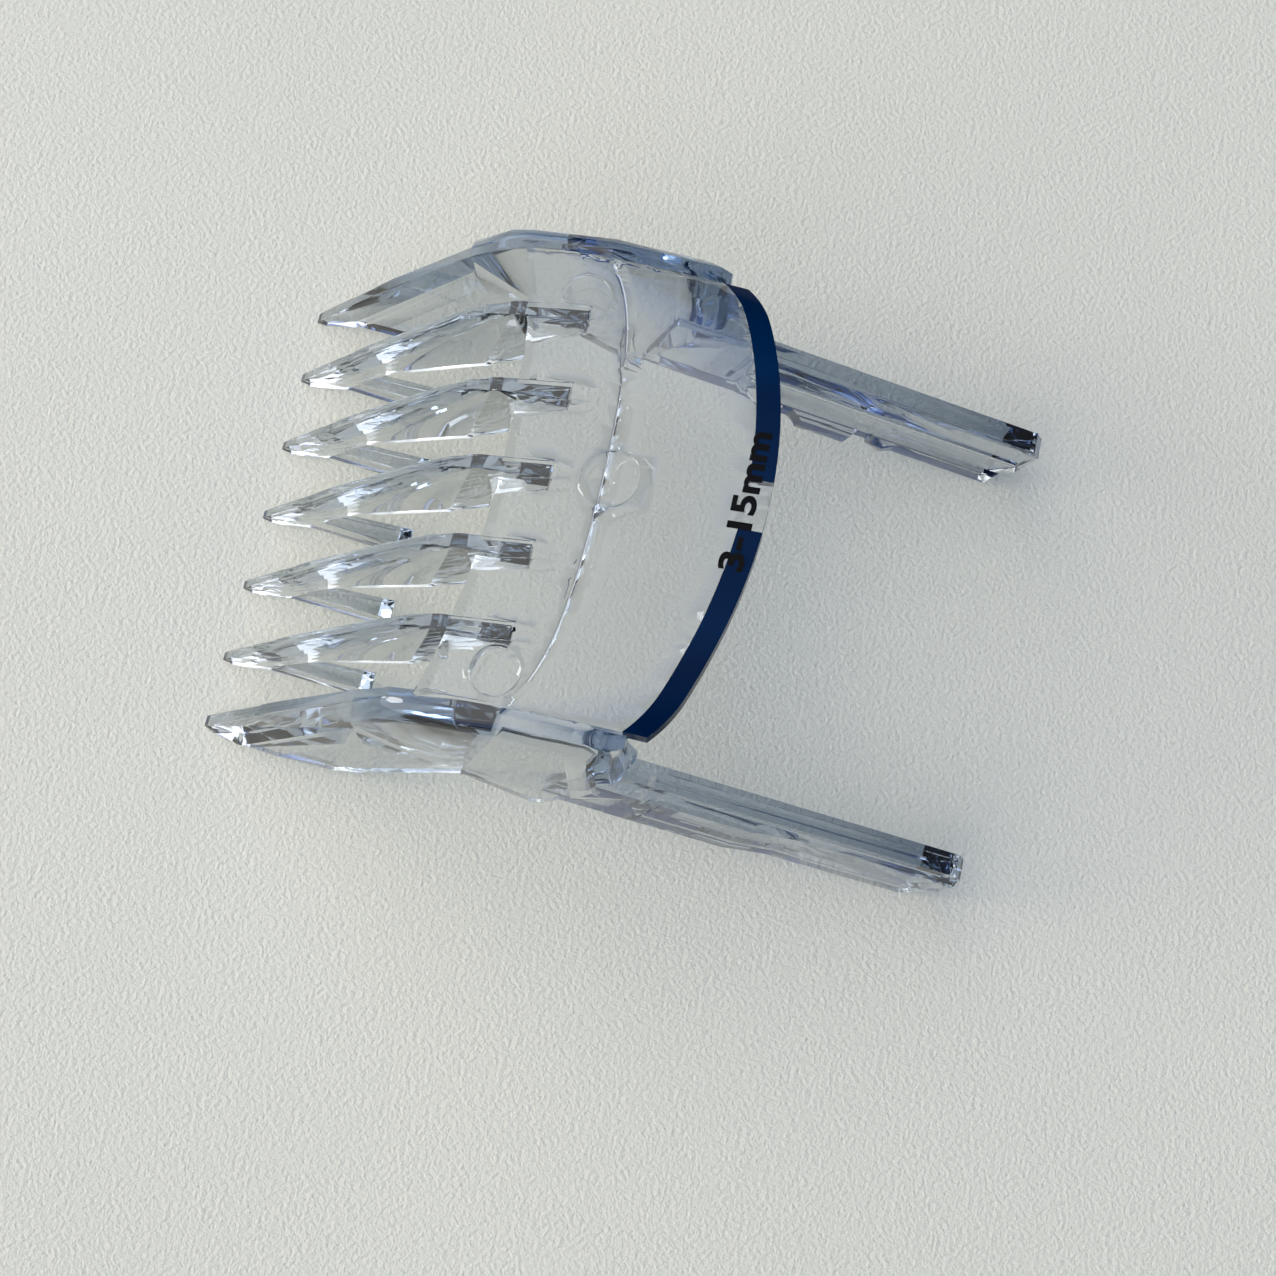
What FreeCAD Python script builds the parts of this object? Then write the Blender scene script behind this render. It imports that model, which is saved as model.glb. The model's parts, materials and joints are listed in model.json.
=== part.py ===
import FreeCAD, Part
import os
from math import atan2, degrees, hypot

# Clip-on guard comb for a hair clipper, lying on its tooth tips and arm ends.
# Millimetres. +X runs from the tooth tips to the arm ends, +Y is the left side, +Z is up.
# Every piece is a region of one clear moulding, so neighbours meet face to face.

# ---- overall sizes ----
TOOTH_COUNT = 7
TOOTH_PITCH = 7.0           # with the count, this sets how wide the head is
CHEEK_THICKNESS = 2.4
COVER_THICKNESS = 1.75

# ---- cover skin, side view on the centre line ----
FRONT_EDGE_X = 24.3
FRONT_EDGE_Z = 27.1
CREASE_X = 32.8
CREASE_Z = 28.9
RIM_X = 46.5
RIM_Z = 31.2
FRONT_BULGE = 0.35          # how far the front panel bows above its chord
REAR_BULGE = 0.35
FRONT_SWEEP = (2.0, 0.6)    # how far each line falls back at the cheeks: square and sixth power terms
CREASE_SWEEP = (1.5, 2.3)
RIM_RADIUS = 42.5
RIM_CORNER_RADIUS = 9.5
FRONT_DROP = (0.4, 0.5)     # arch across the head, in the same two terms
CREASE_DROP = (0.5, 0.9)
RIM_DROP = (3.3, 1.6)
BAND_WIDTH = 2.0            # navy rim band
BAND_GAP_LEFT = 1.6         # clear window in the band
BAND_GAP_RIGHT = -2.7

# ---- teeth, side view: (x, z) ----
TIP = (-0.15, 0.35)
TIP_TOP = (0.25, 1.0)
RIDGE_MID = (8.1, 11.8)
RIDGE_TOP = (16.4, 22.1)
CROWN = (19.6, 25.4)
CROWN_REAR = (22.4, 26.95)
RIB_END_X = 28.5            # where the tooth ridge fades into the cover
RIB_END_STEP = 0.15         # what is left of the ridge where it stops
RIB_ROOT_DEPTH = 1.0        # how far the web under that ridge hangs below the cover
FIN_GUSSET = ((26.5, 23.4), (23.1, 20.6))
FIN_REAR = (22.8, 18.2)
FIN_UNDER = (18.9, 14.6)
NOTCH_THROAT = (8.9, 7.2)
NOTCH_VERTEX = (6.2, 3.9)
SOLE_ARCH = (4.6, 1.55)     # highest point of the hollow sole in front of the foot
FOOT_HEEL = (12.4, 0.0)
FOOT_END = (14.2, 2.4)
NOSE_HEEL = (0.7, 0.0)
RIDGE_LIFT = 0.5
LAND_HALF_WIDTH = 0.34      # flat on the ridge of a tooth
FLANK_HALF_WIDTH = 0.6
FLANK_DEPTH = 1.6
ROOT_HALF_WIDTH = 0.97
ROOT_DEPTH = 12.0
END_LAND_WIDTH = 0.9        # the two end teeth are thicker and slope off on the outside
END_FLANK_DEPTH = 2.6
END_FLANK_INSET = 0.25
END_SOLE = ((12.2, 0.2), (14.9, 1.6))

# ---- cheeks, side view: (x, z) ----
CHEEK_LOWER = ((16.4, 3.1), (24.8, 10.1), (26.1, 9.0), (30.6, 5.0), (31.6, 5.3))
CHEEK_REAR = ((37.0, 13.2), (38.7, 16.0), (40.0, 21.4))
CHEEK_TOP_REAR = (39.2, 24.4)
SHOULDER_RADIUS = 1.7

# ---- arms, in their own frame: U along the arm, V square to it, origin on the top edge ----
ARM_SLOPE = 19.5            # degrees below level
ARM_ORIGIN = (44.0, 14.3)
ARM_LENGTH = 26.6           # from the origin to the free end
ARM_HEIGHT = 9.5
ARM_INSET = 0.75            # how far the arm's inner face stands in from the cheek's
ARM_WEB = 1.95
ROOT_LENGTH = 7.0           # fixed part, from the cheek to the flex line
FLEX_U = -2.5               # flex line
FLEX_CLEARANCE = 0.04
FLEX_GAP = 0.4              # between the fixed and the moving rail
END_CHAMFER_U = 1.9
END_CHAMFER_V = 4.0
END_TOP_CHAMFER = 0.9
RAIL_TOP_V = -1.3
RAIL_EDGE_V = -2.0
RAIL_PROUD_FRONT = 0.9      # how far the outer rail stands out, at its top edge
RAIL_PROUD_REAR = 0.4
RAIL_FLARE = 0.25           # extra at the bottom edge
RAIL_STEP_U = 7.5
RAIL_STEP_LENGTH = 4.0
LIP_PROUD = 0.6             # inner guide lip
LIP_HEIGHT = 1.8
LIP_INSET = 0.6             # of its lower side from the arm's lower edge
LIP_START_U = -1.0
LIP_END_INSET = 0.9
RIB_PROUD = 0.4             # inner guide rib
RIB_V = -3.3
RIB_HEIGHT = 0.6
CATCH_U = 4.6               # click catch on the lip
CATCH_LENGTH = 6.4
CATCH_PROUD = 0.8
CATCH_RAMP = 1.0
CATCH_NOTCH = 1.6
CATCH_NOTCH_DEPTH = 0.35
RAMP_LENGTH = 2.8
RAMP_PROUD = 0.5

# ---- what follows from them ----
END_TOOTH_Y = TOOTH_PITCH * (TOOTH_COUNT - 1) / 2.0
HEAD_HALF_WIDTH = END_TOOTH_Y + CHEEK_THICKNESS / 2.0
CHEEK_INNER_Y = HEAD_HALF_WIDTH - CHEEK_THICKNESS
ARM_INNER_Y = CHEEK_INNER_Y - ARM_INSET
LIP_BOTTOM_V = LIP_INSET - ARM_HEIGHT
LIP_TOP_V = LIP_BOTTOM_V + LIP_HEIGHT
BIG = 120.0                 # longer than anything here

nodes = {}


def vec(x, y, z):
    return FreeCAD.Vector(x, y, z)


def side_wire(points, y):
    """Closed wire through (x, z) points in the plane at y."""
    loop = [vec(x, y, z) for x, z in points]
    return Part.makePolygon(loop + [loop[0]])


def side_plate(points, y_low, y_high):
    """Prism of an (x, z) outline between two values of y."""
    face = Part.Face(side_wire(points, y_low))
    return face.extrude(vec(0, y_high - y_low, 0))


def section_prism(points, u_start, u_end):
    """Prism of a (y, v) outline, swept along U."""
    loop = [vec(u_start, y, v) for y, v in points]
    face = Part.Face(Part.makePolygon(loop + [loop[0]]))
    return face.extrude(vec(u_end - u_start, 0, 0))


def plan_prism(points, v_low, v_high):
    """Prism of a (u, y) outline between two values of v."""
    loop = [vec(u, y, v_low) for u, y in points]
    face = Part.Face(Part.makePolygon(loop + [loop[0]]))
    return face.extrude(vec(0, 0, v_high - v_low))


def mirrored(shape):
    return shape.mirror(vec(0, 0, 0), vec(0, 1, 0))


def drop(y, terms):
    """Fall of a cover line away from the centre: flat in the middle, quicker near the cheeks."""
    share = abs(y) / CHEEK_INNER_Y
    return terms[0] * share ** 2 + terms[1] * share ** 6


def front_point(y):
    return (FRONT_EDGE_X - drop(y, FRONT_SWEEP), FRONT_EDGE_Z - drop(y, FRONT_DROP))


def crease_point(y):
    return (CREASE_X - drop(y, CREASE_SWEEP), CREASE_Z - drop(y, CREASE_DROP))


def rim_point(y):
    centre_x = RIM_X - RIM_RADIUS
    x = centre_x + (RIM_RADIUS ** 2 - y ** 2) ** 0.5
    return (x, RIM_Z - drop(y, RIM_DROP))


def bow(start, end, rise):
    """Point above the middle of a chord."""
    length = hypot(end[0] - start[0], end[1] - start[1])
    nx = -(end[1] - start[1]) / length
    nz = (end[0] - start[0]) / length
    return ((start[0] + end[0]) / 2 + nx * rise, (start[1] + end[1]) / 2 + nz * rise)


def panel_wire(y, start, end, rise, lead_in, run_on):
    """Closed section of one cover panel at y, a little longer than the panel at each end."""
    length = hypot(end[0] - start[0], end[1] - start[1])
    dx = (end[0] - start[0]) / length
    dz = (end[1] - start[1]) / length
    first = (start[0] - dx * lead_in, start[1] - dz * lead_in)
    last = (end[0] + dx * run_on, end[1] + dz * run_on)
    middle = bow(first, last, rise)
    top = Part.Arc(vec(first[0], y, first[1]), vec(middle[0], y, middle[1]), vec(last[0], y, last[1]))
    low = COVER_THICKNESS
    under = Part.Arc(
        vec(last[0], y, last[1] - low),
        vec(middle[0], y, middle[1] - low),
        vec(first[0], y, first[1] - low),
    )
    front = Part.makeLine(vec(first[0], y, first[1] - low), vec(first[0], y, first[1]))
    rear = Part.makeLine(vec(last[0], y, last[1]), vec(last[0], y, last[1] - low))
    return Part.Wire([top.toShape(), rear, under.toShape(), front])


def panel(start_of, end_of, rise, lead_in, run_on):
    stations = [share * CHEEK_INNER_Y for share in (-1.0, -0.86, -0.62, -0.32, 0.0, 0.32, 0.62, 0.86, 1.0)]
    wires = [panel_wire(y, start_of(y), end_of(y), rise, lead_in, run_on) for y in stations]
    return Part.makeLoft(wires, True, False)


def arc_prism(x_centre, sweep, x_front):
    """Upright prism of the region in front of an arc that falls back at the cheeks."""
    half = HEAD_HALF_WIDTH
    x_side = x_centre - sweep * (half / CHEEK_INNER_Y) ** 2
    arc = Part.Arc(vec(x_side, -half, 0), vec(x_centre, 0, 0), vec(x_side, half, 0)).toShape()
    left = Part.makeLine(vec(x_side, half, 0), vec(x_front, half, 0))
    front = Part.makeLine(vec(x_front, half, 0), vec(x_front, -half, 0))
    right = Part.makeLine(vec(x_front, -half, 0), vec(x_side, -half, 0))
    return Part.Face(Part.Wire([arc, left, front, right])).extrude(vec(0, 0, BIG))


def rim_prism(x_rim):
    """Upright prism of everything in front of the rounded rim line."""
    fall = RIM_RADIUS - (RIM_RADIUS ** 2 - HEAD_HALF_WIDTH ** 2) ** 0.5
    prism = arc_prism(x_rim, fall * (CHEEK_INNER_Y / HEAD_HALF_WIDTH) ** 2, -20.0)
    corners = []
    for edge in prism.Edges:
        box = edge.BoundBox
        if box.XLength < 1e-6 and box.YLength < 1e-6 and box.XMin > 0:
            corners.append(edge)
    return prism.makeFillet(RIM_CORNER_RADIUS, corners)


# ---- teeth ----

def cover_top_z(x):
    """Height of the cover over the front panel on the centre line."""
    start = front_point(0)
    end = crease_point(0)
    share = (x - start[0]) / (end[0] - start[0])
    chord = start[1] + share * (end[1] - start[1])
    return chord + 4.0 * FRONT_BULGE * share * (1.0 - share)


def roof(rows):
    """Long wedge along a tooth's ridge. Rows give (depth below the ridge, low y, high y)."""
    dx = RIDGE_TOP[0] - TIP_TOP[0]
    dz = RIDGE_TOP[1] - TIP_TOP[1]
    length = hypot(dx, dz)
    along = vec(dx / length, 0, dz / length)
    down = vec(dz / length, 0, -dx / length)
    start = vec(TIP_TOP[0], 0, TIP_TOP[1]) - along * 12.0
    right = [start + down * depth + vec(0, low, 0) for depth, low, high in rows]
    left = [start + down * depth + vec(0, high, 0) for depth, low, high in reversed(rows)]
    loop = right + left
    face = Part.Face(Part.makePolygon(loop + [loop[0]]))
    return face.extrude(along * (length + 40.0))


def tooth_roof(y_centre):
    rows = [
        (-RIDGE_LIFT, LAND_HALF_WIDTH),
        (RIDGE_LIFT / 4, LAND_HALF_WIDTH),
        (FLANK_DEPTH, FLANK_HALF_WIDTH),
        (ROOT_DEPTH, ROOT_HALF_WIDTH),
        (ROOT_DEPTH * 2.4, ROOT_HALF_WIDTH),
    ]
    return roof([(depth, y_centre - half, y_centre + half) for depth, half in rows])


def end_tooth_roof():
    """Left end tooth: square on the inside, sloped off on the outside."""
    inner = CHEEK_INNER_Y
    land = inner + END_LAND_WIDTH
    rows = [
        (-RIDGE_LIFT, inner, land),
        (RIDGE_LIFT / 4, inner, land),
        (END_FLANK_DEPTH, inner, HEAD_HALF_WIDTH - END_FLANK_INSET),
        (END_FLANK_DEPTH * 2, inner, HEAD_HALF_WIDTH),
        (ROOT_DEPTH * 2.4, inner, HEAD_HALF_WIDTH),
    ]
    return roof(rows)


def fin_outline(with_notch):
    rib_z = cover_top_z(RIB_END_X) + RIB_END_STEP
    points = [TIP, TIP_TOP, RIDGE_MID, RIDGE_TOP, CROWN]
    if with_notch:
        points += [CROWN_REAR, (RIB_END_X, rib_z)]
        points += [(RIB_END_X, rib_z - COVER_THICKNESS - RIB_ROOT_DEPTH)]
        points += [FIN_GUSSET[0], FIN_GUSSET[1], FIN_REAR, FIN_UNDER, NOTCH_THROAT, NOTCH_VERTEX]
        points += [SOLE_ARCH, NOSE_HEEL]
    else:
        points = [TIP, TIP_TOP, RIDGE_MID, RIDGE_TOP, (RIDGE_TOP[0], CHEEK_LOWER[0][1])]
        points += [END_SOLE[1], END_SOLE[0], SOLE_ARCH, NOSE_HEEL]
    return points


foot_outline = [NOTCH_VERTEX, FOOT_END, FOOT_HEEL, SOLE_ARCH]
all_fins = []
for index in range(TOOTH_COUNT):
    y_mid = END_TOOTH_Y - index * TOOTH_PITCH
    name = str(index + 1)
    end_tooth = index in (0, TOOTH_COUNT - 1)
    if end_tooth:
        fin = side_plate(fin_outline(False), CHEEK_INNER_Y, HEAD_HALF_WIDTH).common(end_tooth_roof())
        if y_mid < 0:
            fin = mirrored(fin)
    else:
        y_low = y_mid - ROOT_HALF_WIDTH
        y_high = y_mid + ROOT_HALF_WIDTH
        wedge = tooth_roof(y_mid)
        fin = side_plate(fin_outline(True), y_low, y_high).common(wedge)
        foot = side_plate(foot_outline, y_low, y_high).common(wedge)
        nodes["tooth_%s_foot" % name] = foot
        all_fins.append(fin)
    nodes["tooth_%s" % name] = fin

# ---- cover: front panel, rear panel and the rim band ----
head_plan = rim_prism(RIM_X)
front_skin = panel(front_point, crease_point, FRONT_BULGE, 0.0, 0.0)
rear_skin = panel(crease_point, rim_point, REAR_BULGE, 0.0, 4.0)
front_cover = front_skin
for fin in all_fins:
    front_cover = front_cover.cut(fin)
nodes["front_cover"] = front_cover
rear_all = rear_skin.common(head_plan)
inner_plan = rim_prism(RIM_X - BAND_WIDTH)
nodes["rear_cover"] = rear_all.common(inner_plan)
band = rear_all.cut(inner_plan)
spans = {
    "rim_band_left": (BAND_GAP_LEFT, HEAD_HALF_WIDTH),
    "rim_window": (BAND_GAP_RIGHT, BAND_GAP_LEFT),
    "rim_band_right": (-HEAD_HALF_WIDTH, BAND_GAP_RIGHT),
}
for name, (y_low, y_high) in spans.items():
    slab = Part.makeBox(BIG, y_high - y_low, BIG, vec(0, y_low, 0))
    nodes[name] = band.common(slab)

# ---- cheeks ----
side_front = front_point(CHEEK_INNER_Y)
side_crease = crease_point(CHEEK_INNER_Y)
side_rim = rim_point(CHEEK_INNER_Y)
slope = (side_rim[1] - side_crease[1]) / (side_rim[0] - side_crease[0])
top_rear = (CHEEK_TOP_REAR[0], side_crease[1] + slope * (CHEEK_TOP_REAR[0] - side_crease[0]))
cheek_top = [RIDGE_TOP, CROWN, side_front, side_crease, top_rear]
cheek_points = cheek_top + [CHEEK_TOP_REAR] + list(reversed(CHEEK_REAR)) + list(reversed(CHEEK_LOWER))
cheek = side_plate(cheek_points, CHEEK_INNER_Y, HEAD_HALF_WIDTH)


def on_shoulder(edge):
    """True for the outer edges along the top of the cheek."""
    for vertex in edge.Vertexes:
        near = min(hypot(vertex.X - x, vertex.Z - z) for x, z in cheek_top)
        if near > 1e-6 or vertex.Y < HEAD_HALF_WIDTH - 1e-6:
            return False
    return True


shoulder = [edge for edge in cheek.Edges if on_shoulder(edge)]
cheek = cheek.makeFillet(SHOULDER_RADIUS, shoulder)

# ---- arms, built level in their own frame and then tilted into place ----
web_outer_y = ARM_INNER_Y + ARM_WEB
flex_y = ARM_INNER_Y + ARM_WEB / 2.0
contact_u = ARM_LENGTH - END_CHAMFER_U
root_start_u = FLEX_U - ROOT_LENGTH
arm_end_cut = [
    (contact_u, -ARM_HEIGHT - 1.0),
    (contact_u, -ARM_HEIGHT),
    (ARM_LENGTH, -ARM_HEIGHT + END_CHAMFER_V),
    (ARM_LENGTH + 1.0, -ARM_HEIGHT + END_CHAMFER_V),
    (ARM_LENGTH + 1.0, -ARM_HEIGHT - 1.0),
]
arm_top_cut = [
    (ARM_LENGTH - END_TOP_CHAMFER, 1.0),
    (ARM_LENGTH - END_TOP_CHAMFER, 0.0),
    (ARM_LENGTH, -END_TOP_CHAMFER),
    (ARM_LENGTH + 1.0, -END_TOP_CHAMFER),
    (ARM_LENGTH + 1.0, 1.0),
]
end_cutter = side_plate(arm_end_cut, 0, HEAD_HALF_WIDTH + 5.0)
end_cutter = end_cutter.fuse(side_plate(arm_top_cut, 0, HEAD_HALF_WIDTH + 5.0))


def place(shape):
    """From the arm's own frame to the comb's frame, left side."""
    placed = shape.copy()
    placed.rotate(vec(0, 0, 0), vec(0, 1, 0), ARM_SLOPE)
    placed.translate(vec(ARM_ORIGIN[0], 0, ARM_ORIGIN[1]))
    return placed


def knuckle(radius):
    return Part.makeCylinder(radius, ARM_HEIGHT, vec(FLEX_U, flex_y, -ARM_HEIGHT), vec(0, 0, 1))


def rail_section(proud):
    return [
        (web_outer_y, RAIL_TOP_V),
        (web_outer_y + proud, RAIL_EDGE_V),
        (web_outer_y + proud + RAIL_FLARE, -ARM_HEIGHT),
        (web_outer_y, -ARM_HEIGHT),
    ]


def section_wire(points, u):
    loop = [vec(u, y, v) for y, v in points]
    return Part.makePolygon(loop + [loop[0]])


def slab(u_start, u_end):
    low = vec(u_start, ARM_INNER_Y, -ARM_HEIGHT)
    return Part.makeBox(u_end - u_start, ARM_WEB, ARM_HEIGHT, low)


socket = knuckle(ARM_WEB / 2.0 + FLEX_CLEARANCE)
root = slab(root_start_u, FLEX_U).cut(socket)
rail_root_end = FLEX_U - FLEX_GAP * 0.7
rail_start = FLEX_U + FLEX_GAP * 0.3
root = root.fuse(section_prism(rail_section(RAIL_PROUD_FRONT), root_start_u, rail_root_end)).removeSplitter()
web = slab(FLEX_U, ARM_LENGTH).fuse(knuckle(ARM_WEB / 2.0)).removeSplitter().cut(end_cutter)

step_end_u = RAIL_STEP_U + RAIL_STEP_LENGTH
rail_front = section_prism(rail_section(RAIL_PROUD_FRONT), rail_start, RAIL_STEP_U)
rail_taper = Part.makeLoft(
    [
        section_wire(rail_section(RAIL_PROUD_FRONT), RAIL_STEP_U),
        section_wire(rail_section(RAIL_PROUD_REAR), step_end_u),
    ],
    True,
    True,
)
rail_rear = section_prism(rail_section(RAIL_PROUD_REAR), step_end_u, ARM_LENGTH)
rail = rail_front.fuse([rail_taper, rail_rear]).removeSplitter().cut(end_cutter)

lip_y = ARM_INNER_Y - LIP_PROUD
lip_end_u = ARM_LENGTH - LIP_END_INSET
notch_start = CATCH_U + CATCH_LENGTH
notch_end = notch_start + CATCH_NOTCH
lip_plan = [
    (LIP_START_U, ARM_INNER_Y),
    (LIP_START_U + LIP_PROUD, lip_y),
    (notch_start, lip_y),
    (notch_start, lip_y + CATCH_NOTCH_DEPTH),
    (notch_end, lip_y + CATCH_NOTCH_DEPTH),
    (notch_end, lip_y),
    (lip_end_u - LIP_PROUD, lip_y),
    (lip_end_u, ARM_INNER_Y),
]
lip = plan_prism(lip_plan, LIP_BOTTOM_V, LIP_TOP_V).cut(end_cutter)
catch_y = lip_y - CATCH_PROUD
catch_plan = [
    (CATCH_U, lip_y),
    (CATCH_U + CATCH_RAMP, catch_y),
    (notch_start - CATCH_RAMP / 2, catch_y),
    (notch_start, lip_y),
]
catch = plan_prism(catch_plan, LIP_BOTTOM_V, LIP_TOP_V)
ramp_plan = [
    (notch_end, lip_y),
    (notch_end + RAMP_LENGTH / 2, lip_y - RAMP_PROUD),
    (notch_end + RAMP_LENGTH, lip_y),
]
ramp = plan_prism(ramp_plan, LIP_BOTTOM_V, LIP_TOP_V)
rib_section = [
    (ARM_INNER_Y, RIB_V),
    (ARM_INNER_Y - RIB_PROUD, RIB_V - RIB_HEIGHT / 3),
    (ARM_INNER_Y - RIB_PROUD, RIB_V - RIB_HEIGHT * 2 / 3),
    (ARM_INNER_Y, RIB_V - RIB_HEIGHT),
]
rib = section_prism(rib_section, LIP_START_U, lip_end_u)

root_placed = place(root)
cheek = cheek.cut(root_placed).common(head_plan)
left_side = {
    "cheek": cheek,
    "arm_root": root_placed,
    "arm": place(web),
    "arm_rail": place(rail),
    "guide_lip": place(lip),
    "guide_rib": place(rib),
    "catch": place(catch),
    "catch_ramp": place(ramp),
}
for name, shape in left_side.items():
    nodes[name + "_left"] = shape
    nodes[name + "_right"] = mirrored(shape)

# ---- lie the comb down on its tooth tips and arm ends ----
arm_foot = place(Part.Vertex(vec(contact_u, flex_y, -ARM_HEIGHT))).Point
lie_angle = degrees(atan2(NOSE_HEEL[1] - arm_foot.z, arm_foot.x - NOSE_HEEL[0]))
for shape in nodes.values():
    shape.rotate(vec(0, 0, 0), vec(0, 1, 0), -lie_angle)

# ---- origin under the middle of the comb, lowest point on the ground ----
low = min(shape.BoundBox.ZMin for shape in nodes.values())
front_x = min(shape.BoundBox.XMin for shape in nodes.values())
rear_x = max(shape.BoundBox.XMax for shape in nodes.values())
shift = vec(-(front_x + rear_x) / 2.0, 0, -low)

os.makedirs("parts", exist_ok=True)
for name, shape in nodes.items():
    shape.translate(shift)
    shape.exportStep("parts/%s.step" % name)
    box = shape.BoundBox
    sizes = (name, len(shape.Solids), shape.Volume, shape.isValid(), box.XMin, box.XMax, box.YMin, box.YMax)
    print("%-16s solids %d volume %.1f valid %s x %.1f..%.1f y %.1f..%.1f" % sizes)
flex = place(Part.Vertex(vec(FLEX_U, flex_y, -ARM_HEIGHT / 2.0)))
flex.rotate(vec(0, 0, 0), vec(0, 1, 0), -lie_angle)
print("shift x %.4f z %.4f" % (shift.x, shift.z))
print("lie angle %.4f, arm slope when lying %.4f" % (lie_angle, ARM_SLOPE - lie_angle))
print("flex point", [round(c, 3) for c in (flex.Point + shift)])
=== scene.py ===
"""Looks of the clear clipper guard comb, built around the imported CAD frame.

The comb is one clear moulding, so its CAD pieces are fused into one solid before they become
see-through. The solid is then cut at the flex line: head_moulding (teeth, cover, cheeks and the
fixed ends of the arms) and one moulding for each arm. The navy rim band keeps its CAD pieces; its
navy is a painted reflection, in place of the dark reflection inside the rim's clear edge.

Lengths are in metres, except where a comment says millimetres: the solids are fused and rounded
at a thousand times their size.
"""

import json
import math

import bmesh
import bpy
from mathutils import Matrix, Vector
from mathutils.bvhtree import BVHTree
from mathutils.geometry import intersect_point_line


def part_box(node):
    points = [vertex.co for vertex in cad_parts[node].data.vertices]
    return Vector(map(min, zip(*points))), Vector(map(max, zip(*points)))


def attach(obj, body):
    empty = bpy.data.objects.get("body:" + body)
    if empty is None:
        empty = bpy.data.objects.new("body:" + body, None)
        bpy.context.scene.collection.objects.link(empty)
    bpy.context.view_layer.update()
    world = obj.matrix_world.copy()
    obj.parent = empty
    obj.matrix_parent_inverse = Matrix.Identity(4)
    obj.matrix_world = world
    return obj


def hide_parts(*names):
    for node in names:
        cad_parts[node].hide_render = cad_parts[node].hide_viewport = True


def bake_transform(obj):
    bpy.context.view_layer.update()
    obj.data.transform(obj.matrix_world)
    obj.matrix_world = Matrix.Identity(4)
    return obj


MM = 0.001
UP = Vector((0, 0, 1))
DOWN = Vector((0, 0, -1))
RAY_HEIGHT = 0.1                # well above the comb

# ---- CAD nodes ----
SIDES = {"left": 1, "right": -1}  # with the sign of their Y
ARM_NODES = ("arm", "arm_rail", "guide_lip", "guide_rib", "catch", "catch_ramp")
BAND_NODES = ("rim_band_left", "rim_band_right")
COVER_NODES = ("front_cover", "rear_cover", "rim_window", *BAND_NODES)
MIDDLE_TEETH = tuple("tooth_%d" % number for number in range(2, 7))

# ---- fusing ----
WELD = 0.012 * MM               # each piece grows by this, so that neighbours overlap and fuse
DOUBLES = 0.0005 * MM           # points of a CAD mesh nearer than this are one point
NO_LENGTH = 1e-4                # millimetres; a shorter edge of a CAD mesh is taken out
SLIVER = 0.0008                 # millimetres; points of the fused solid nearer than this merge
FLAT_ANGLE = math.radians(0.03)  # faces closer to level with each other than this become one
BOX_FACES = (                   # corners are numbered with the first axis changing fastest
    (0, 2, 3, 1), (4, 5, 7, 6), (0, 1, 5, 4), (2, 6, 7, 3), (0, 4, 6, 2), (1, 3, 7, 5),
)

# ---- rounding, in millimetres ----
EDGE_RADIUS = 0.09
EDGE_SEGMENTS = 2
SHARP_ANGLE = math.radians(28)  # edges that turn by more than this are rounded
ROOM = 2.6                      # faces and edges beside a rounded edge are this many radii wide
TIGHT_CORNER = math.radians(50)  # the rounding stops short of a corner sharper than this
TIGHTEST_TANGENT = 0.01         # keeps the run-out finite at the sharpest corners
RUN_OUT = 0.3                   # how far from a crowded corner the rounding stops
FOLD_AREA = 0.001               # a fold with less than half this area doesn't count
CLOSE = 0.25                    # edges this near a fold stay sharp
ROUND_TRIES = 8
CRISP_ANGLE = math.radians(22)  # edges that turn by more than this are crisp in the shading

# ---- fine marks on the cover: thin beads, sized by their radius ----
BEAD_SIDES = 8
MARK_BEAD = 0.045 * MM
MARK_LIFT = 0.005 * MM
MARK_STEPS = 72
EJECTOR_MARKS = (               # (x, y, radius of the ring)
    (-2.2 * MM, 0.0, 2.45 * MM),
    (-7.6 * MM, 15.6 * MM, 2.1 * MM),
    (-7.6 * MM, -17.3 * MM, 2.1 * MM),
)
RIDGE_BEAD = 0.055 * MM
RIDGE_STEPS = 8
RIDGE_LEAD = 2.4 * MM           # from where beside the rib, and how far past its end
RIDGE_TAIL = 1.7 * MM
RIDGE_WIDE = 0.98 * MM          # how far off the rib's middle, at both ends
RIDGE_NARROW = 0.62 * MM
CREASE_BEAD = 0.10 * MM
CREASE_LIFT = 0.035 * MM
CREASE_STEPS = 60
CREASE_SMOOTHING = 6            # rounds of averaging with the neighbours
CREASE_REACH = 0.985            # of the way from the middle to the cheeks
CREASE_SEARCH = (-8.0 * MM, 2.0 * MM)  # x of a place on the front panel, and of one behind it
SEARCH_STEPS = 20

# ---- the printed size range ----
LEGEND = "3-15mm"
LEGEND_HEIGHT = 2.05 * MM       # of its figures
LEGEND_LENGTH = 12.0 * MM
LEGEND_CENTRE = (8.86 * MM, -0.2 * MM)
LEGEND_STROKE = 0.034           # text units; makes the strokes bold
LEGEND_DEPTH = 0.5              # text units; tells the tops of the figures from their undersides
LEGEND_DOUBLES = 1e-5           # text units
LEGEND_CURVES = 6               # segments in each curve of the font
INK_TOP = 0.035 * MM            # above the cover
INK_BOTTOM = 0.016 * MM

# ---- arms, along U from the flex line, square to it along V ----
ARM_BLEND_LENGTH = 4.5 * MM
ARM_BLEND_CUTS = 6
# plastic in place of the CAD model's hinge clearance: how far it reaches each way, and its section
FILLER_REACH = 1.6 * MM
RAIL_REACH = 1.2 * MM
WEB_HALF = 0.975 * MM
ARM_HALF_HEIGHT = 4.75 * MM
RAIL_TOP = ARM_HALF_HEIGHT - 1.3 * MM
RAIL_EDGE = ARM_HALF_HEIGHT - 2.0 * MM
RAIL_PROUD = 0.9 * MM
RAIL_FLARE = 0.25 * MM

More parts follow.
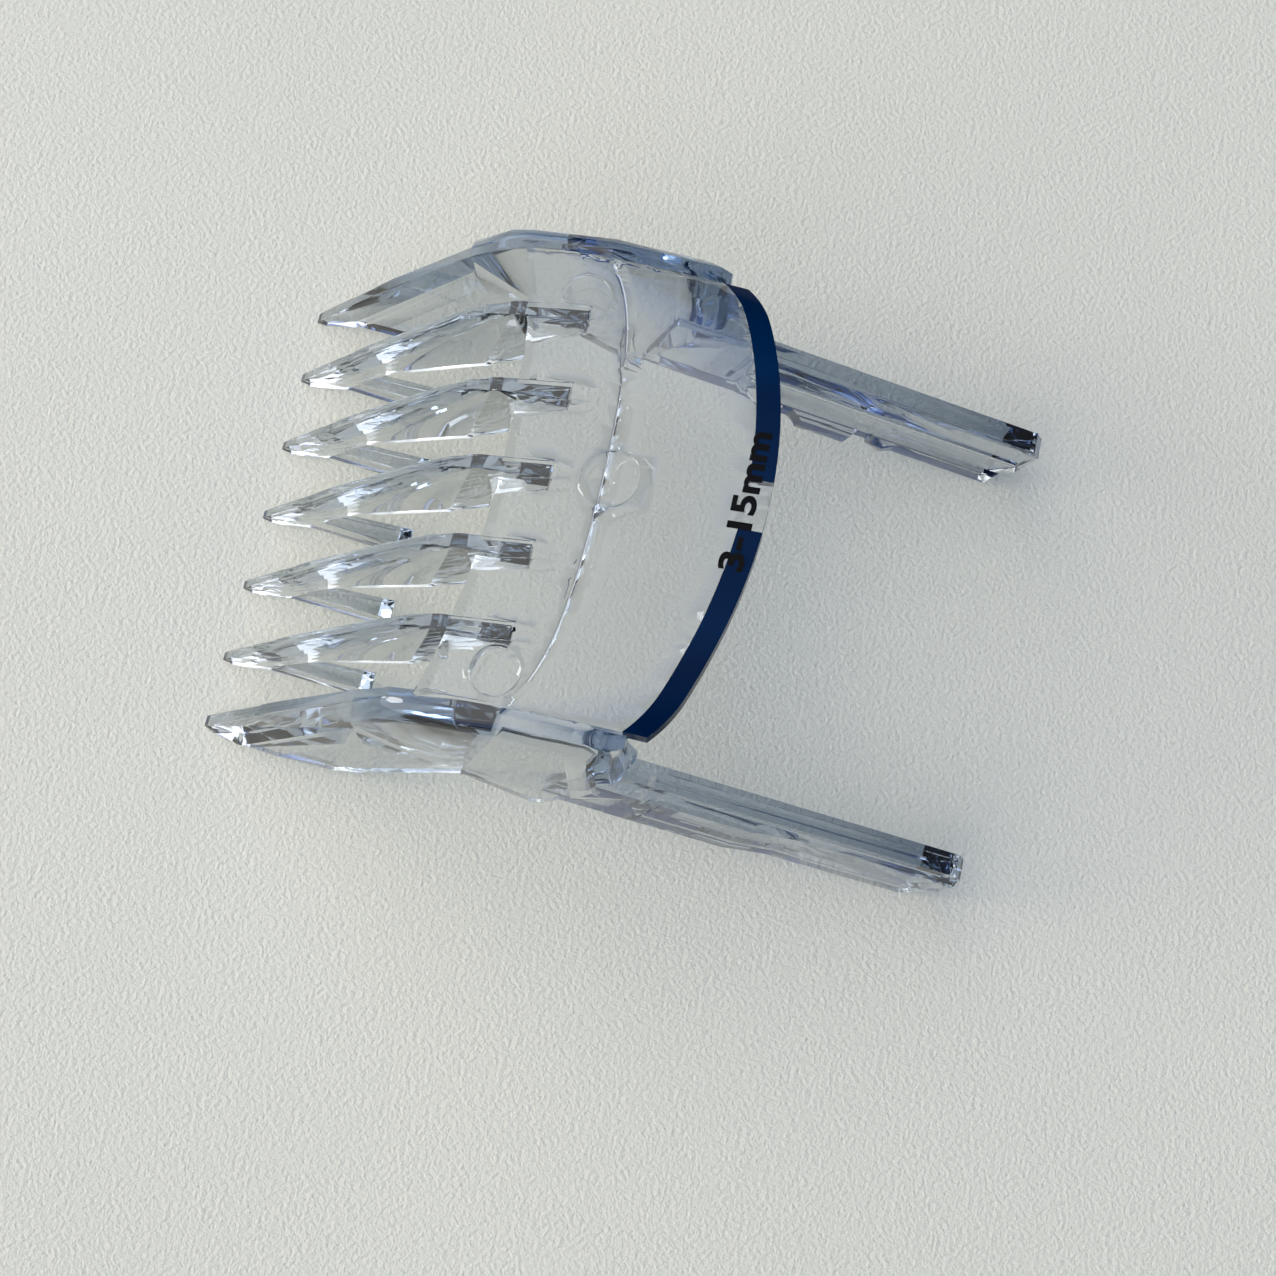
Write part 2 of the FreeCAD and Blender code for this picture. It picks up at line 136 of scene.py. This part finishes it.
# ---- clear plastic ----
OPEN_MARK = "open_joint"        # face attribute: 1 where a moulding is cut from the next
PLASTIC_TINT = (0.80, 0.812, 0.81, 1)
PLASTIC_SHADE = (0.65, 0.68, 0.71, 1)  # what the comb lets through to the paper
PLASTIC_IOR = 1.585
PLASTIC_ROUGHNESS = (0.0, 0.045)
DEPTH_COLOUR = (0.12, 0.32, 0.56, 1)
DEPTH_DENSITY = 62.0

# ---- the room: a bright window side, and a dim blue rest ----
FLOOR_HALF = 2.5
WINDOW_DIRECTION = Vector((-0.88, -0.11, 0.46)).normalized()
ROOM_STRENGTH = 1.85
ROOM_RAMP = (                   # from the far side of the room to the window itself
    (0.0, (0.02, 0.035, 0.08)),
    (0.30, (0.16, 0.15, 0.12)),
    (0.48, (0.010, 0.030, 0.09)),
    (0.64, (0.015, 0.05, 0.15)),
    (0.69, (0.20, 0.29, 0.62)),
    (0.77, (0.66, 0.73, 0.97)),
    (0.81, (1.0, 1.0, 1.0)),
    (1.0, (1.0, 1.0, 1.0)),
)
BACKDROP_COLOUR = (0.70, 0.71, 0.68, 1)
BACKDROP_STRENGTH = 0.9
SOFTBOX_SPOT = (-0.75, -0.10, 0.36)
SOFTBOX_AIM = (0, 0, 0.01)
SOFTBOX_SIZE = 0.35
SOFTBOX_WATTS = 2.6
SOFTBOX_COLOUR = (1.0, 0.98, 0.95)

# ---- camera ----
CAMERA_SPOT = (0.007987, -0.066741, 0.216920)
CAMERA_RIGHT = (0.97581, 0.2157, 0.03640)
CAMERA_BACK = (0.02594, -0.2791, 0.95991)
CAMERA_SENSOR = 36.0            # millimetres
CAMERA_LENS = 69.15             # millimetres
CAMERA_CLIP = (0.01, 10.0)
# light crosses many walls of the clear teeth before it leaves them
MAX_BOUNCES = 40
TRANSMISSION_BOUNCES = 40
GLOSSY_BOUNCES = 7
TRANSPARENT_BOUNCES = 24

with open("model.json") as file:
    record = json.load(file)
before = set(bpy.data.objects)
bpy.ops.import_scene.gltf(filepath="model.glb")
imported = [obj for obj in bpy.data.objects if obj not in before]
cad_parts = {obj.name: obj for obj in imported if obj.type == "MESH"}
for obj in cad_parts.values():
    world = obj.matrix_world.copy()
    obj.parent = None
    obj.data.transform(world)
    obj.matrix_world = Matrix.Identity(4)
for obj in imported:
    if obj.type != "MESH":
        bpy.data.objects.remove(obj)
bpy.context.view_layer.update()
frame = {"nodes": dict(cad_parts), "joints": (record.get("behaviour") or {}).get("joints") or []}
joints = {joint["name"]: joint for joint in frame["joints"]}


# ---------------------------------------------------------------- meshes

def link(name, data):
    """A new object in the scene."""
    obj = bpy.data.objects.new(name, data)
    bpy.context.scene.collection.objects.link(obj)
    return obj


def solid(name, work):
    """A new object from a closed bmesh, its faces turned outwards. The bmesh is used up."""
    bmesh.ops.recalc_face_normals(work, faces=work.faces)
    mesh = bpy.data.meshes.new(name)
    work.to_mesh(mesh)
    work.free()
    return link(name, mesh)


def everything(work):
    """All the geometry of a bmesh, for an operator."""
    return work.verts[:] + work.edges[:] + work.faces[:]


def grown_copy(node):
    """A welded copy of a CAD node's mesh, a hair larger on every side, in millimetres."""
    mesh = frame["nodes"][node].data.copy()
    mesh.materials.clear()
    work = bmesh.new()
    work.from_mesh(mesh)
    bmesh.ops.scale(work, vec=(1 / MM,) * 3, verts=work.verts)
    bmesh.ops.remove_doubles(work, verts=work.verts, dist=DOUBLES / MM)
    bmesh.ops.dissolve_degenerate(work, edges=work.edges, dist=NO_LENGTH)
    work.normal_update()
    moves = [(vert, vert.normal * WELD / MM) for vert in work.verts]
    for vert, move in moves:
        vert.co += move
    work.to_mesh(mesh)
    work.free()
    return link("work_" + node, mesh)


def arm_frame(side):
    """(along, across, up) axes and the flex point of one arm, from its joint."""
    joint = joints[side + "_arm_flex"]
    up = Vector(joint["axis"])
    if up.z < 0:
        up.negate()
    across = Vector((0, SIDES[side], 0))
    along = Vector((0, 1, 0)).cross(up).normalized()
    return (along, across, up), Vector(joint["pos_m"])


def web_filler(axes, flex):
    """A box with the web's section, carried across the flex line, in millimetres."""
    highs = (FILLER_REACH, WEB_HALF + WELD, ARM_HALF_HEIGHT + WELD)
    lows = [-high for high in highs]
    work = bmesh.new()
    corners = []
    for k in (0, 1):
        for j in (0, 1):
            for i in (0, 1):
                picks = [(lows, highs)[bit][axis] for axis, bit in enumerate((i, j, k))]
                spot = flex + sum((axes[axis] * picks[axis] for axis in range(3)), Vector())
                corners.append(work.verts.new(spot / MM))
    for loop in BOX_FACES:
        work.faces.new([corners[index] for index in loop])
    return solid("web_filler", work)


def rail_filler(axes, flex):
    """The outer rail's section, carried across the flex line, in millimetres."""
    along, across, up = axes
    inner, outer = WEB_HALF / 2, WEB_HALF + WELD
    bottom = -ARM_HALF_HEIGHT - WELD
    section = [
        (inner, RAIL_TOP + WELD),
        (outer, RAIL_TOP + WELD),
        (outer + RAIL_PROUD, RAIL_EDGE),
        (outer + RAIL_PROUD + RAIL_FLARE, bottom),
        (inner, bottom),
    ]
    work = bmesh.new()
    ends = []
    for u in (-RAIL_REACH, RAIL_REACH):
        spots = [(flex + along * u + across * y + up * v) / MM for y, v in section]
        ends.append([work.verts.new(spot) for spot in spots])
    count = len(section)
    work.faces.new(ends[0])
    work.faces.new(list(reversed(ends[1])))
    for index in range(count):
        after = (index + 1) % count
        work.faces.new((ends[0][index], ends[0][after], ends[1][after], ends[1][index]))
    return solid("rail_filler", work)


def bead(name, points, radius, closed=False):
    """A thin round bead along points (in metres), in millimetres, to fuse into the moulding."""
    work = bmesh.new()
    count = len(points)
    hoops = []
    for index, point in enumerate(points):
        if closed:
            ahead, behind = points[(index + 1) % count], points[index - 1]
        else:
            ahead, behind = points[min(index + 1, count - 1)], points[max(index - 1, 0)]
        tangent = (ahead - behind).normalized()
        side = tangent.cross(UP).normalized()
        rise = side.cross(tangent)
        hoop = []
        for step in range(BEAD_SIDES):
            turn = 2 * math.pi * step / BEAD_SIDES
            spot = point + (side * math.cos(turn) + rise * math.sin(turn)) * radius
            hoop.append(work.verts.new(spot / MM))
        hoops.append(hoop)
    for index in range(count if closed else count - 1):
        first, second = hoops[index], hoops[(index + 1) % count]
        for step in range(BEAD_SIDES):
            after = (step + 1) % BEAD_SIDES
            work.faces.new((first[step], first[after], second[after], second[step]))
    if not closed:
        work.faces.new(hoops[0])
        work.faces.new(list(reversed(hoops[-1])))
    return solid(name, work)


def fuse(name, solids):
    """The union of several solids, as a new object. The solids are used up."""
    base, *others = solids
    group = bpy.data.collections.new(name + "_tools")
    for other in others:
        group.objects.link(other)
    step = base.modifiers.new("fuse", "BOOLEAN")
    step.operation = "UNION"
    step.solver = "EXACT"
    step.operand_type = "COLLECTION"
    step.collection = group
    graph = bpy.context.evaluated_depsgraph_get()
    mesh = bpy.data.meshes.new_from_object(base.evaluated_get(graph))
    for used in solids:
        bpy.data.objects.remove(used)
    bpy.data.collections.remove(group)
    mesh.name = name
    return link(name, mesh)


def clean(obj):
    """Makes level areas single faces and takes out the slivers that fusing leaves."""
    work = bmesh.new()
    work.from_mesh(obj.data)
    bmesh.ops.remove_doubles(work, verts=work.verts, dist=SLIVER)
    bmesh.ops.dissolve_degenerate(work, edges=work.edges, dist=SLIVER / 4)
    bmesh.ops.dissolve_limit(work, angle_limit=FLAT_ANGLE, verts=work.verts, edges=work.edges)
    work.to_mesh(obj.data)
    work.free()


def cut_off(source, name, spot, along, sign):
    """One side of the flex plane, as a new object: the head for sign 0, else the arm at +Y or -Y.

    The cut itself is capped with see-through faces, because the plastic runs on there.
    """
    mesh = source.data.copy()
    mesh.name = name
    mesh.materials.clear()
    mesh.materials.append(CLEAR)
    work = bmesh.new()
    work.from_mesh(mesh)
    open_mark = work.faces.layers.float.new(OPEN_MARK)
    bmesh.ops.bisect_plane(
        work, geom=everything(work), plane_co=spot, plane_no=along,
        clear_outer=sign == 0, clear_inner=sign != 0,
    )
    if sign:
        astray = [vert for vert in work.verts if vert.co.y * sign < 0]
        bmesh.ops.delete(work, geom=astray, context="VERTS")
    loose = [edge for edge in work.edges if not edge.link_faces]
    bmesh.ops.delete(work, geom=loose, context="EDGES")
    rims = [edge for edge in work.edges if edge.is_boundary]
    for face in bmesh.ops.holes_fill(work, edges=rims)["faces"]:
        face[open_mark] = 1.0
    if sign:
        # loops for the bend
        for index in range(1, ARM_BLEND_CUTS + 1):
            cut = spot + along * (ARM_BLEND_LENGTH * index / ARM_BLEND_CUTS)
            bmesh.ops.bisect_plane(work, geom=everything(work), plane_co=cut, plane_no=along)
    bmesh.ops.recalc_face_normals(work, faces=work.faces)
    work.to_mesh(mesh)
    work.free()
    return link(name, mesh)


def shade(obj):
    """Smooth shading, broken at the crisp edges."""
    for polygon in obj.data.polygons:
        polygon.use_smooth = True
    obj.data.set_sharp_from_angle(angle=CRISP_ANGLE)


# ---------------------------------------------------------------- rounding

def folded_spots(work):
    """Corners of the triangles that lie upside down in their face: a rounding ran into itself."""
    spots = []
    for loops in work.calc_loop_triangles():
        first, second, third = (loop.vert.co for loop in loops)
        if (second - first).cross(third - first).dot(loops[0].face.normal) < -FOLD_AREA:
            spots += [first.copy(), second.copy(), third.copy()]
    return spots


def near_fold(edge, avoid):
    """Whether an edge runs close to a spot where a rounding folded before."""
    length = edge.calc_length()
    ends = [vert.co for vert in edge.verts]
    near = (intersect_point_line(spot, *ends) for spot in avoid)
    return any(
        -CLOSE / length < part < 1 + CLOSE / length and (spot - foot).length < CLOSE
        for spot, (foot, part) in zip(avoid, near)
    )


def run_outs(edge, picked, room):
    """The ends of an edge where its rounding has to stop short, and by how much."""
    plan = []
    for vert in edge.verts:
        corners = [
            loop.calc_angle()
            for face in edge.link_faces for loop in face.loops if loop.vert == vert
        ]
        tight = min(min(corner, math.pi - corner) for corner in corners)
        gap = 0
        if tight < TIGHT_CORNER:
            gap = 2 * EDGE_RADIUS / max(math.tan(tight), TIGHTEST_TANGENT)
        if any(other.calc_length() < room for other in vert.link_edges if other not in picked):
            gap = max(gap, RUN_OUT)
        if gap:
            plan.append((vert, gap))
    return plan


def rounded(source, avoid):
    """A copy of a bmesh with a small radius along every sharp edge that has room for it."""
    work = source.copy()
    work.normal_update()
    room = ROOM * EDGE_RADIUS
    picked = set()
    for edge in work.edges:
        if not edge.is_manifold or edge.calc_face_angle(0) < SHARP_ANGLE:
            continue
        length = edge.calc_length()
        if length < room or any(face.calc_area() < length * room for face in edge.link_faces):
            continue
        if not near_fold(edge, avoid):
            picked.add(edge)
    plans = []
    for edge in work.edges:
        if edge in picked:
            plan = run_outs(edge, picked, room)
            if edge.calc_length() > sum(gap for _, gap in plan) + room:
                plans.append((edge, plan))
    kept = []
    for edge, plan in plans:
        for vert, gap in plan:
            far_end = edge.other_vert(vert)
            _, middle = bmesh.utils.edge_split(edge, vert, gap / edge.calc_length())
            edge = next(part for part in middle.link_edges if part.other_vert(middle) == far_end)
        kept.append(edge)
    bmesh.ops.bevel(
        work, geom=kept, offset=EDGE_RADIUS, offset_type="OFFSET", segments=EDGE_SEGMENTS,
        profile=0.5, affect="EDGES", clamp_overlap=False, loop_slide=True,
    )
    work.normal_update()
    return work


def round_edges(obj):
    """Rounds the edges, leaving out any whose rounding would fold a face."""
    source = bmesh.new()
    source.from_mesh(obj.data)
    avoid = []
    for _ in range(ROUND_TRIES):
        work = rounded(source, avoid)
        spots = folded_spots(work)
        work.to_mesh(obj.data)
        work.free()
        if not spots:
            break
        avoid += spots
    source.free()


# ---------------------------------------------------------------- materials

def new_material(name):
    """An empty node material, with its nodes and links."""
    material = bpy.data.materials.new(name)
    material.use_nodes = True
    nodes = material.node_tree.nodes
    nodes.clear()
    return material, nodes, material.node_tree.links


def add(nodes, kind, **inputs):
    """A shader node with some sockets set, their names written with underscores."""
    node = nodes.new(kind)
    for key, value in inputs.items():
        node.inputs[key.replace("_", " ")].default_value = value
    return node


def ramp(nodes, stops):
    """A colour ramp through (place, colour) stops."""
    node = nodes.new("ShaderNodeValToRGB")
    elements = node.color_ramp.elements
    for element, (place, colour) in zip(elements, (stops[0], stops[-1])):
        element.position = place
        element.color = (*colour, 1)
    for place, colour in stops[1:-1]:
        elements.new(place).color = (*colour, 1)
    return node


def clear_plastic(name):
    """Clear moulded plastic that turns navy in its depth."""
    material, nodes, links = new_material(name)
    out = nodes.new("ShaderNodeOutputMaterial")
    glass = add(
        nodes, "ShaderNodeBsdfPrincipled",
        Base_Color=PLASTIC_TINT, Transmission_Weight=1, IOR=PLASTIC_IOR,
    )
    coords = nodes.new("ShaderNodeTexCoord")
    # slow waves left by the mould, and a faint polish grain
    waves = add(nodes, "ShaderNodeTexNoise", Scale=90.0, Detail=2.0)
    grain = add(nodes, "ShaderNodeTexNoise", Scale=2600.0, Detail=3.0)
    low, high = PLASTIC_ROUGHNESS
    rough = add(nodes, "ShaderNodeMapRange", To_Min=low, To_Max=high)
    bump = add(nodes, "ShaderNodeBump", Strength=0.4, Distance=0.00010)
    links.new(coords.outputs["Object"], waves.inputs["Vector"])
    links.new(coords.outputs["Object"], grain.inputs["Vector"])
    links.new(grain.outputs["Fac"], rough.inputs["Value"])
    links.new(rough.outputs["Result"], glass.inputs["Roughness"])
    links.new(waves.outputs["Fac"], bump.inputs["Height"])
    links.new(bump.outputs["Normal"], glass.inputs["Normal"])
    # lamps shine through, so that the paper under the comb is lit
    through = add(nodes, "ShaderNodeBsdfTransparent", Color=PLASTIC_SHADE)
    path = nodes.new("ShaderNodeLightPath")
    mix = nodes.new("ShaderNodeMixShader")
    links.new(path.outputs["Is Shadow Ray"], mix.inputs["Fac"])
    links.new(glass.outputs["BSDF"], mix.inputs[1])
    links.new(through.outputs["BSDF"], mix.inputs[2])
    # where one moulding is cut from the next there is no surface to see
    mark = nodes.new("ShaderNodeAttribute")
    mark.attribute_name = OPEN_MARK
    nothing = add(nodes, "ShaderNodeBsdfTransparent", Color=(1, 1, 1, 1))
    opened = nodes.new("ShaderNodeMixShader")
    links.new(mark.outputs["Fac"], opened.inputs["Fac"])
    links.new(mix.outputs["Shader"], opened.inputs[1])
    links.new(nothing.outputs["BSDF"], opened.inputs[2])
    links.new(opened.outputs["Shader"], out.inputs["Surface"])
    # long ways through the plastic turn navy
    depth = add(nodes, "ShaderNodeVolumeAbsorption", Color=DEPTH_COLOUR, Density=DEPTH_DENSITY)
    links.new(depth.outputs["Volume"], out.inputs["Volume"])
    return material


def painted_navy_reflection(name):
    """Painted reflection: glossy navy, slightly cloudy, in place of the dark reflection inside the
    rim's clear edge.
    """
    material, nodes, links = new_material(name)
    out = nodes.new("ShaderNodeOutputMaterial")
    painted_reflection_bsdf = add(nodes, "ShaderNodeBsdfPrincipled", Roughness=0.16, Specular_IOR_Level=0.03)
    coords = nodes.new("ShaderNodeTexCoord")
    cloud = add(nodes, "ShaderNodeTexNoise", Scale=120.0, Detail=2.0)
    tone = ramp(nodes, ((0.35, (0.0, 0.008, 0.034)), (0.75, (0.0, 0.014, 0.052))))
    links.new(coords.outputs["Object"], cloud.inputs["Vector"])
    links.new(cloud.outputs["Fac"], tone.inputs["Fac"])
    links.new(tone.outputs["Color"], painted_reflection_bsdf.inputs["Base Color"])
    links.new(painted_reflection_bsdf.outputs["BSDF"], out.inputs["Surface"])
    return material


def ink(name):
    """Black pad print, with a slightly uneven sheen."""
    material, nodes, links = new_material(name)
    out = nodes.new("ShaderNodeOutputMaterial")
    coat = add(nodes, "ShaderNodeBsdfPrincipled", Specular_IOR_Level=0.06)
    coords = nodes.new("ShaderNodeTexCoord")
    speck = add(nodes, "ShaderNodeTexNoise", Scale=3000.0, Detail=3.0)
    tone = ramp(nodes, ((0.0, (0.0006, 0.0006, 0.0008)), (1.0, (0.003, 0.003, 0.004))))
    sheen = add(nodes, "ShaderNodeMapRange", To_Min=0.35, To_Max=0.55)
    links.new(coords.outputs["Object"], speck.inputs["Vector"])
    links.new(speck.outputs["Fac"], tone.inputs["Fac"])
    links.new(speck.outputs["Fac"], sheen.inputs["Value"])
    links.new(tone.outputs["Color"], coat.inputs["Base Color"])
    links.new(sheen.outputs["Result"], coat.inputs["Roughness"])
    links.new(coat.outputs["BSDF"], out.inputs["Surface"])
    return material


def paper(name):
    """Matt pale paper with a fine tooth."""
    material, nodes, links = new_material(name)
    out = nodes.new("ShaderNodeOutputMaterial")
    sheet = add(nodes, "ShaderNodeBsdfPrincipled", Roughness=0.85, Specular_IOR_Level=0.15)
    coords = nodes.new("ShaderNodeTexCoord")
    tooth = add(nodes, "ShaderNodeTexNoise", Scale=2300.0, Detail=5.0, Roughness=0.6)
    swell = add(nodes, "ShaderNodeTexNoise", Scale=14.0, Detail=2.0)
    tone = ramp(nodes, ((0.0, (0.68, 0.665, 0.55)), (1.0, (0.725, 0.71, 0.605))))
    fine = add(nodes, "ShaderNodeBump", Strength=0.9, Distance=0.00024)
    broad = add(nodes, "ShaderNodeBump", Strength=0.35, Distance=0.002)
    links.new(coords.outputs["Object"], tooth.inputs["Vector"])
    links.new(coords.outputs["Object"], swell.inputs["Vector"])
    links.new(swell.outputs["Fac"], tone.inputs["Fac"])
    links.new(tone.outputs["Color"], sheet.inputs["Base Color"])
    links.new(swell.outputs["Fac"], broad.inputs["Height"])
    links.new(tooth.outputs["Fac"], fine.inputs["Height"])
    links.new(broad.outputs["Normal"], fine.inputs["Normal"])
    links.new(fine.outputs["Normal"], sheet.inputs["Normal"])
    links.new(sheet.outputs["BSDF"], out.inputs["Surface"])
    return material


CLEAR = clear_plastic("clear_plastic")
# the rim band's navy material is a painted reflection
NAVY = painted_navy_reflection("painted_navy_reflection")


# ---------------------------------------------------------------- marks on the cover

def skin(nodes):
    """Finds the top surface of some CAD nodes: a function from (x, y) to a point on it."""
    trees = []
    for node in nodes:
        work = bmesh.new()
        work.from_mesh(frame["nodes"][node].data)
        trees.append(BVHTree.FromBMesh(work))
        work.free()

    def on_top(x, y):
        best = None
        for tree in trees:
            spot = tree.ray_cast(Vector((x, y, RAY_HEIGHT)), DOWN)[0]
            if spot is not None and (best is None or spot.z > best.z):
                best = spot
        return best

    return on_top


def ejector_rings():
    """Round witness marks of the ejector pins. One that leaves the cover is an open arc."""
    rings = []
    for index, (x, y, radius) in enumerate(EJECTOR_MARKS):
        loop = []
        for step in range(MARK_STEPS):
            turn = 2 * math.pi * step / MARK_STEPS
            spot = on_cover(x + radius * math.cos(turn), y + radius * math.sin(turn))
            if spot is not None:
                loop.append(spot + UP * MARK_LIFT)
        rings.append(bead("mark_%d" % index, loop, MARK_BEAD, closed=len(loop) == MARK_STEPS))
    return rings


def rib_ridges():
    """Thin ridges that run off the cover behind each middle rib, one on each side of it."""
    ridges = []
    for node in MIDDLE_TEETH:
        low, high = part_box(node)
        for sign in (-1, 1):
            line = []
            for step in range(RIDGE_STEPS + 1):
                part = step / RIDGE_STEPS
                x = high.x - RIDGE_LEAD + (RIDGE_LEAD + RIDGE_TAIL) * part
                off = RIDGE_WIDE + (RIDGE_NARROW - RIDGE_WIDE) * part
                spot = on_cover(x, (low.y + high.y) / 2 + sign * off)
                if spot is not None:
                    line.append(spot)
            ridges.append(bead("ridge", line, RIDGE_BEAD))
    return ridges


def crease_spot(on_front, y):
    """Where the front and rear panels meet: the rearmost point of the front panel at y."""
    ahead, behind = CREASE_SEARCH
    for _ in range(SEARCH_STEPS):
        middle = (ahead + behind) / 2
        if on_front(middle, y) is None:
            behind = middle
        else:
            ahead = middle
    return on_front(ahead, y)


def crease_line():
    """The flow line where the two panels meet, from cheek to cheek."""
    on_front = skin(("front_cover",))
    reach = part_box("cheek_left")[0].y * CREASE_REACH
    line = []
    for step in range(CREASE_STEPS + 1):
        spot = crease_spot(on_front, reach * (2 * step / CREASE_STEPS - 1))
        if spot is not None:
            line.append(spot + UP * CREASE_LIFT)
    for _ in range(CREASE_SMOOTHING):
        line[1:-1] = [(a + 2 * b + c) / 4 for a, b, c in zip(line, line[1:], line[2:])]
    return bead("crease_bead", line, CREASE_BEAD)


def legend_words():
    """The size range in Blender's own font, as a slab in text units with its tops above z = 0."""
    text = bpy.data.curves.new("size_legend", "FONT")
    text.body = LEGEND
    text.align_x = "CENTER"
    text.align_y = "CENTER"
    text.resolution_u = LEGEND_CURVES
    text.offset = LEGEND_STROKE
    text.extrude = LEGEND_DEPTH
    words = link("legend_words", text)
    graph = bpy.context.evaluated_depsgraph_get()
    mesh = bpy.data.meshes.new_from_object(words.evaluated_get(graph))
    bpy.data.objects.remove(words)
    return mesh


def legend():
    """The size range, printed flat on the cover just in front of the rim."""
    mesh = legend_words()
    work = bmesh.new()
    work.from_mesh(mesh)
    bmesh.ops.triangulate(work, faces=work.faces)
    bmesh.ops.remove_doubles(work, verts=work.verts, dist=LEGEND_DOUBLES)
    lows = [min(vert.co[axis] for vert in work.verts) for axis in range(2)]
    highs = [max(vert.co[axis] for vert in work.verts) for axis in range(2)]
    middle = [(lows[axis] + highs[axis]) / 2 for axis in range(2)]
    wide = LEGEND_LENGTH / (highs[0] - lows[0])
    tall = LEGEND_HEIGHT / (highs[1] - lows[1])
    for vert in work.verts:
        # the figures read along +Y, with their tops towards the teeth
        x = LEGEND_CENTRE[0] - (vert.co.y - middle[1]) * tall
        y = LEGEND_CENTRE[1] + (vert.co.x - middle[0]) * wide
        lift = INK_TOP if vert.co.z > 0 else INK_BOTTOM
        vert.co = Vector((x, y, on_cover(x, y).z + lift))
    work.to_mesh(mesh)
    work.free()
    mesh.materials.clear()
    mesh.materials.append(ink("legend_ink"))
    obj = link("size_legend", mesh)
    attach(obj, "head")


# ---------------------------------------------------------------- the comb

arm_names = {node + "_" + side for node in ARM_NODES for side in SIDES}
head_nodes = sorted(set(frame["nodes"]) - arm_names - set(BAND_NODES))
on_cover = skin(COVER_NODES)

solids = [grown_copy(node) for node in head_nodes + sorted(arm_names)]
for side in SIDES:
    axes, flex = arm_frame(side)
    solids += [web_filler(axes, flex), rail_filler(axes, flex)]
comb = fuse("comb", solids + ejector_rings() + rib_ridges() + [crease_line()])
clean(comb)
round_edges(comb)
comb.data.transform(Matrix.Scale(MM, 4))

# one plane cuts both arms from the head
(along, _, _), flex = arm_frame("left")
head = cut_off(comb, "head_moulding", flex, along, 0)
arms = {
    side: cut_off(comb, "arm_moulding_" + side, flex, along, sign) for side, sign in SIDES.items()
}
bpy.data.objects.remove(comb)

shade(head)
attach(head, "head")
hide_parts(*head_nodes)
for side, arm in arms.items():
    shade(arm)
    (along, _, _), flex = arm_frame(side)
    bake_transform(arm)
    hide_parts(*[node + "_" + side for node in ARM_NODES])

legend()

# the rim band gets the navy painted reflection, in place of the dark reflection inside its clear
# edge
for node in BAND_NODES:
    obj = frame["nodes"][node]
    for slot in obj.material_slots:
        slot.material = NAVY


# ---------------------------------------------------------------- floor, light and camera

def paper_floor():
    """A sheet of pale paper under the comb."""
    mesh = bpy.data.meshes.new("floor")
    work = bmesh.new()
    bmesh.ops.create_grid(work, x_segments=2, y_segments=2, size=FLOOR_HALF)
    work.to_mesh(mesh)
    work.free()
    floor = link("floor", mesh)
    floor.data.materials.append(paper("paper"))


def room_light():
    """The light of the room by direction, and a plain pale backdrop for the camera."""
    world = bpy.data.worlds.new("studio")
    bpy.context.scene.world = world
    world.use_nodes = True
    nodes, links = world.node_tree.nodes, world.node_tree.links
    nodes.clear()
    out = nodes.new("ShaderNodeOutputWorld")
    coords = nodes.new("ShaderNodeTexCoord")
    facing = nodes.new("ShaderNodeVectorMath")
    facing.operation = "DOT_PRODUCT"
    facing.inputs[1].default_value = WINDOW_DIRECTION
    share = add(nodes, "ShaderNodeMapRange", From_Min=-1.0, From_Max=1.0)
    sky = ramp(nodes, ROOM_RAMP)
    glow = add(nodes, "ShaderNodeBackground", Strength=ROOM_STRENGTH)
    plain = add(
        nodes, "ShaderNodeBackground", Color=BACKDROP_COLOUR, Strength=BACKDROP_STRENGTH
    )
    path = nodes.new("ShaderNodeLightPath")
    mix = nodes.new("ShaderNodeMixShader")
    links.new(coords.outputs["Generated"], facing.inputs[0])
    links.new(facing.outputs["Value"], share.inputs["Value"])
    links.new(share.outputs["Result"], sky.inputs["Fac"])
    links.new(sky.outputs["Color"], glow.inputs["Color"])
    links.new(path.outputs["Is Camera Ray"], mix.inputs["Fac"])
    links.new(glow.outputs["Background"], mix.inputs[1])
    links.new(plain.outputs["Background"], mix.inputs[2])
    links.new(mix.outputs["Shader"], out.inputs["Surface"])


def softbox():
    """The window itself, as a round lamp that casts the comb's soft shadow."""
    light = bpy.data.lights.new("window", "AREA")
    light.shape = "DISK"
    light.size = SOFTBOX_SIZE
    light.energy = SOFTBOX_WATTS
    light.color = SOFTBOX_COLOUR
    obj = link("window", light)
    obj.location = SOFTBOX_SPOT
    back = Vector(SOFTBOX_SPOT) - Vector(SOFTBOX_AIM)
    obj.rotation_euler = back.to_track_quat("Z", "Y").to_euler()


def camera():
    """The camera at the photograph's viewing angle."""
    data = bpy.data.cameras.new("camera")
    data.sensor_width = CAMERA_SENSOR
    data.lens = CAMERA_LENS
    data.clip_start, data.clip_end = CAMERA_CLIP
    right = Vector(CAMERA_RIGHT).normalized()
    back = Vector(CAMERA_BACK).normalized()
    up = back.cross(right).normalized()
    right = up.cross(back).normalized()
    turn = Matrix((right, up, back)).transposed().to_4x4()
    obj = link("camera", data)
    obj.matrix_world = Matrix.Translation(CAMERA_SPOT) @ turn
    bpy.context.scene.camera = obj


paper_floor()
room_light()
softbox()
camera()

scene = bpy.context.scene
scene.view_settings.view_transform = "Standard"
scene.cycles.max_bounces = MAX_BOUNCES
scene.cycles.transmission_bounces = TRANSMISSION_BOUNCES
scene.cycles.glossy_bounces = GLOSSY_BOUNCES
scene.cycles.transparent_max_bounces = TRANSPARENT_BOUNCES
